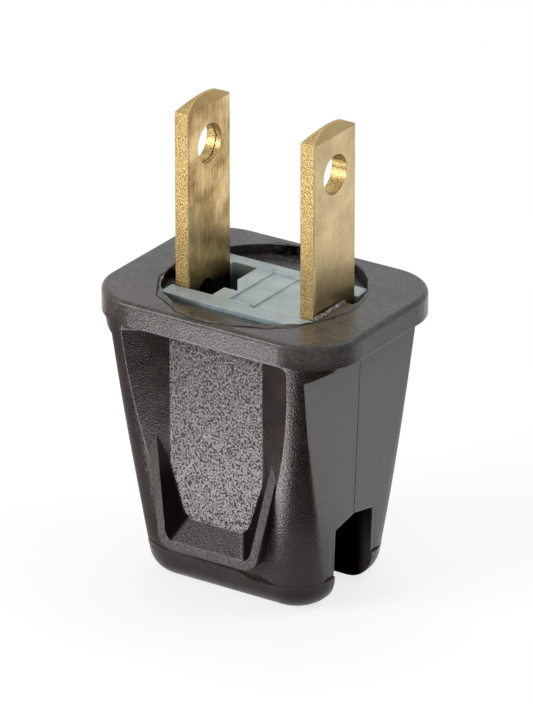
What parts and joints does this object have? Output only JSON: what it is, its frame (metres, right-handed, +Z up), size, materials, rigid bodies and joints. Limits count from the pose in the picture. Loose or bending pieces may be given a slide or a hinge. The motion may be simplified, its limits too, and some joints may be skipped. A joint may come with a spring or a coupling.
{
  "type": "type a plug",
  "caption": "Rewirable type A plug: a tapered casing with ribbed finger grips and a flange, a moulded blade carrier and flat brass blades with round holes.",
  "frame": {"origin": "middle of the face that the plug stands on, at the foot of the casing", "axes": "+X along the row of blades towards the cord entry, +Y from the front grip to the back grip, +Z up along the blades"},
  "size_m": [0.0254, 0.0192, 0.0429],
  "materials": {
    "casing_plastic": "dark brown-black moulding with a satin spark-eroded grain",
    "carrier_plastic": "milky blue-white moulding, smooth and slightly translucent",
    "blade_brass": "rolled brass with a satin face and rough sheared edges"
  },
  "bodies": {
    "root": {"casing": "casing_plastic", "blade_carrier": "carrier_plastic", "blade_right": "blade_brass", "blade_left": "blade_brass"}
  },
  "joints": []
}
